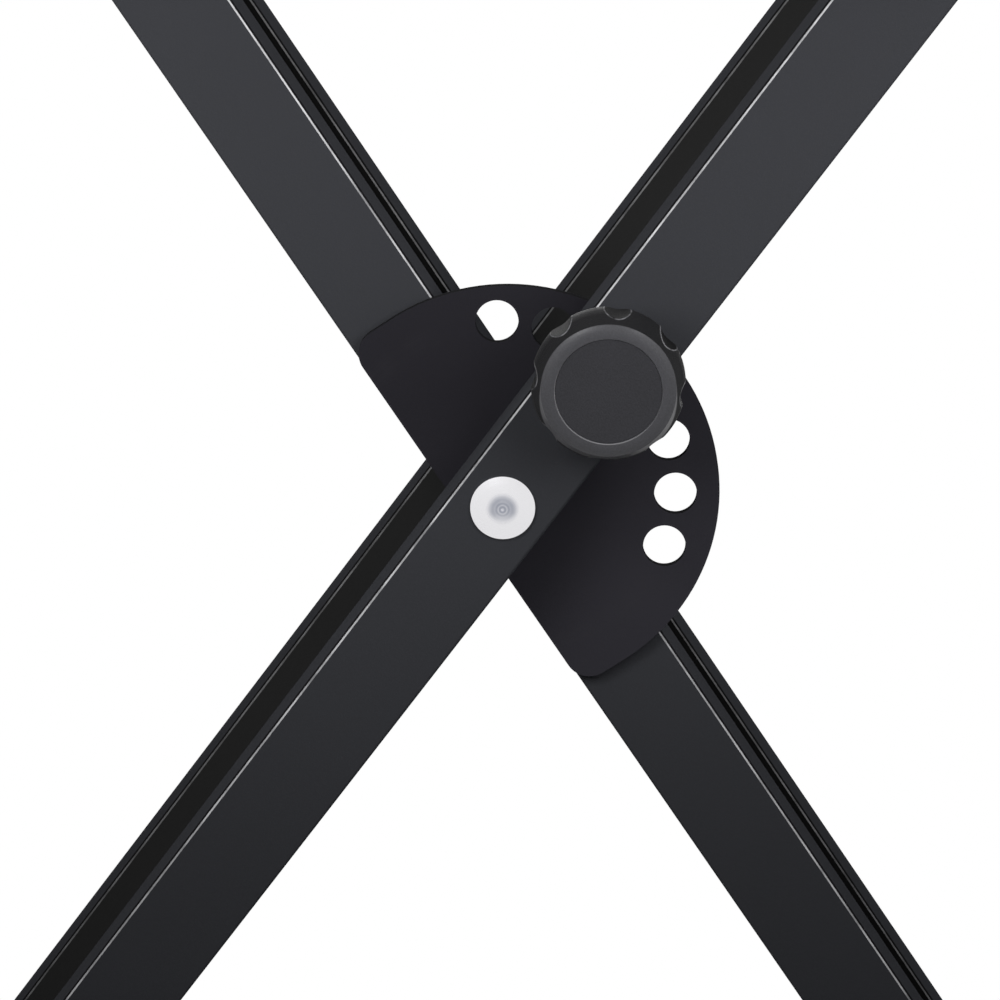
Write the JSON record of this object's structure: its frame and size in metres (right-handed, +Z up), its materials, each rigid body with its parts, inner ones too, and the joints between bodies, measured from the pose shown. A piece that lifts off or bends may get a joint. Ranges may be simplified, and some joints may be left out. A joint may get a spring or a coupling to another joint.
{
  "type": "keyboard stand",
  "caption": "Folding double-braced X stand for a keyboard, with a pierced locking plate, a spring-loaded pull knob, padded arms and levelling foot caps.",
  "frame": {"origin": "on the floor, under the middle of the stand, with the stand open at its third height", "axes": "+Z up, +X to the right seen from the knob's side, +Y from the knob's side to the back"},
  "size_m": [0.5988, 0.4986, 0.8267],
  "materials": {
    "powder_coat": "satin black powder coat",
    "plate_coat": "satin black powder coat",
    "bright_steel": "turned and polished",
    "zinc_plate": "bright zinc",
    "spring_steel": "drawn wire",
    "knob_plastic": "fine moulded texture",
    "knob_disc": "fine moulded texture",
    "nylon": "smooth moulded",
    "rubber": "matte moulded"
  },
  "bodies": {
    "inner_leg": {"inner_front_tube": "powder_coat", "inner_rear_tube": "powder_coat", "inner_crush_sleeves": "zinc_plate", "pivot_spacer": "zinc_plate", "locking_plate": "plate_coat", "inner_foot_bar": "powder_coat", "inner_foot_plugs": "nylon", "inner_cap_washers": "zinc_plate", "inner_cap_screws": "zinc_plate", "inner_arm": "powder_coat", "inner_arm_sleeves": "rubber", "inner_arm_end_caps": "rubber"},
    "outer_leg": {"outer_front_tube": "powder_coat", "outer_rear_tube": "powder_coat", "outer_crush_sleeves": "zinc_plate", "pivot_bolt": "bright_steel", "pivot_washer": "zinc_plate", "pivot_nut": "zinc_plate", "glide_washers": "nylon", "plunger_housing": "zinc_plate", "housing_gland": "zinc_plate", "pin_spring": "spring_steel", "outer_foot_bar": "powder_coat", "outer_foot_plugs": "nylon", "outer_cap_washers": "zinc_plate", "outer_cap_screws": "zinc_plate", "outer_arm": "powder_coat", "outer_arm_sleeves": "rubber", "outer_arm_end_caps": "rubber"},
    "pull_pin": {"lock_pin": "zinc_plate", "knob": "knob_plastic", "knob_cap": "knob_disc", "knob_screw": "zinc_plate", "knob_nut": "zinc_plate"},
    "inner_front_cap": {"inner_front_foot_cap": "rubber"},
    "inner_rear_cap": {"inner_rear_foot_cap": "rubber"},
    "outer_front_cap": {"outer_front_foot_cap": "rubber"},
    "outer_rear_cap": {"outer_rear_foot_cap": "rubber"}
  },
  "joints": [
    {"name": "fold", "type": "hinge", "parent": "inner_leg", "child": "outer_leg", "pos_m": [0, 0, 0.4106], "axis": [0, 1, 0], "range_deg": [-62, 75]},
    {"name": "pin_pull", "type": "slide", "parent": "outer_leg", "child": "pull_pin", "axis": [0, 1, 0], "range_m": [-0.005, 0.0055], "stiffness_N_per_m": 1500, "springref_m": 0.012, "deforming": ["pin_spring"]},
    {"name": "inner_front_levelling", "type": "hinge", "parent": "inner_leg", "child": "inner_front_cap", "pos_m": [0.27245, -0.2313, 0.0215], "axis": [0, 1, 0], "continuous": true},
    {"name": "inner_rear_levelling", "type": "hinge", "parent": "inner_leg", "child": "inner_rear_cap", "pos_m": [0.27245, 0.2313, 0.0215], "axis": [0, 1, 0], "continuous": true},
    {"name": "outer_front_levelling", "type": "hinge", "parent": "outer_leg", "child": "outer_front_cap", "pos_m": [-0.27245, -0.2313, 0.0215], "axis": [0, 1, 0], "continuous": true},
    {"name": "outer_rear_levelling", "type": "hinge", "parent": "outer_leg", "child": "outer_rear_cap", "pos_m": [-0.27245, 0.2313, 0.0215], "axis": [0, 1, 0], "continuous": true}
  ]
}
